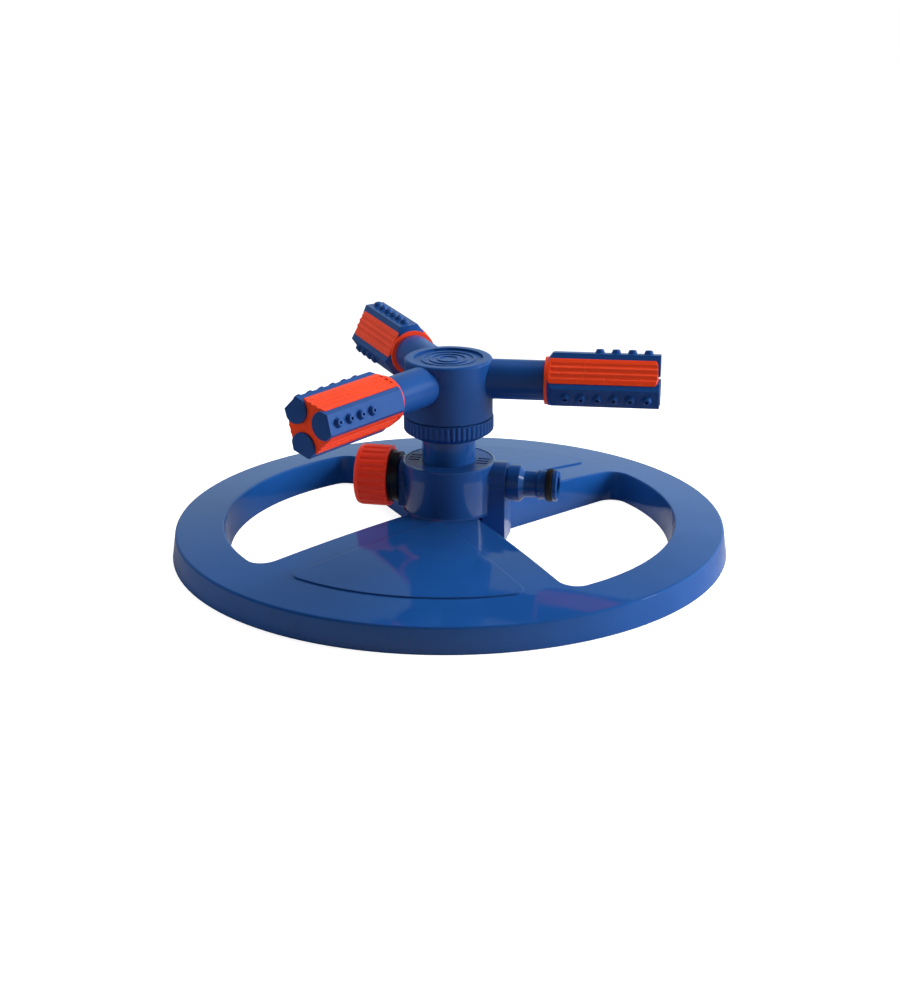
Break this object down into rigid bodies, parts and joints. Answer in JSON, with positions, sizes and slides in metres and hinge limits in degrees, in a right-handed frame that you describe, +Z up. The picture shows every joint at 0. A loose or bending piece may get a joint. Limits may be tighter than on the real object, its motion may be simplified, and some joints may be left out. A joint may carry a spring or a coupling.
{
  "type": "rotary garden sprinkler",
  "caption": "Ring-based rotary garden sprinkler: port tower with hose inlet and capped outlet, spinning hub with arms, and turnable heads that carry jet bars.",
  "frame": {"origin": "centre of the base ring on the ground", "axes": "+Z up along the rotor axis, +X towards the hose inlet, -X towards the capped outlet"},
  "size_m": [0.28, 0.28, 0.1037],
  "materials": {
    "blue_gloss": "glossy moulded blue",
    "blue_satin": "satin moulded blue",
    "orange": "satin moulded orange",
    "cap_red": "satin moulded red-orange",
    "black_plastic": "glossy black",
    "rubber": "matt black rubber",
    "steel": "zinc-plated steel",
    "white_plastic": "natural acetal"
  },
  "bodies": {
    "base": {"base_plate": "blue_gloss", "inlet_housing": "blue_gloss", "tower_plate": "blue_satin", "housing_screws": "steel", "spindle": "blue_gloss", "thrust_washer": "white_plastic", "retainer_washer": "steel", "retainer_screw": "steel", "inlet_spigot": "blue_gloss", "spigot_oring": "rubber", "inlet_filter": "white_plastic", "outlet_nipple": "black_plastic"},
    "cap_seal": {"cap_washer": "rubber"},
    "cap": {"outlet_cap": "cap_red"},
    "rotor": {"collar_nut": "blue_satin", "rotor_bush": "white_plastic", "rotor_seal": "rubber", "hub_lower": "blue_satin", "hub_upper": "blue_satin", "hub_cap": "blue_satin", "arm_a": "blue_satin", "head_oring_a": "rubber", "head_clip_a": "steel", "selector_seal_a": "rubber", "arm_b": "blue_satin", "head_oring_b": "rubber", "head_clip_b": "steel", "selector_seal_b": "rubber", "arm_c": "blue_satin", "head_oring_c": "rubber", "head_clip_c": "steel", "selector_seal_c": "rubber"},
    "head_a": {"head_core_a": "orange", "bar_4jet_a": "blue_satin", "bar_6jet_a": "blue_satin", "bar_5jet_a": "blue_satin"},
    "head_b": {"head_core_b": "orange", "bar_4jet_b": "blue_satin", "bar_6jet_b": "blue_satin", "bar_5jet_b": "blue_satin"},
    "head_c": {"head_core_c": "orange", "bar_4jet_c": "blue_satin", "bar_6jet_c": "blue_satin", "bar_5jet_c": "blue_satin"}
  },
  "joints": [
    {"name": "rotor_spin", "type": "hinge", "parent": "base", "child": "rotor", "pos_m": [0, 0, 0.087], "axis": [0, 0, 1], "continuous": true},
    {"name": "cap_travel", "type": "slide", "parent": "base", "child": "cap_seal", "axis": [-1, 0, 0], "range_m": [0, 0.00907]},
    {"name": "cap_turn", "type": "hinge", "parent": "cap_seal", "child": "cap", "pos_m": [-0.0388, 0, 0.0342], "axis": [-1, 0, 0], "range_deg": [0, 1800]},
    {"name": "head_turn_a", "type": "hinge", "parent": "rotor", "child": "head_a", "pos_m": [0.05239, 0.00343, 0.0874], "axis": [0.9979, 0.0654, 0], "continuous": true},
    {"name": "head_turn_b", "type": "hinge", "parent": "rotor", "child": "head_b", "pos_m": [-0.02917, 0.04365, 0.0874], "axis": [-0.5556, 0.8315, 0], "continuous": true},
    {"name": "head_turn_c", "type": "hinge", "parent": "rotor", "child": "head_c", "pos_m": [-0.02322, -0.04709, 0.0874], "axis": [-0.4423, -0.8969, 0], "continuous": true}
  ],
  "couplings": [
    {"joint": "cap_travel", "follows": "cap_turn", "m_per_rad": 0.00028871}
  ]
}
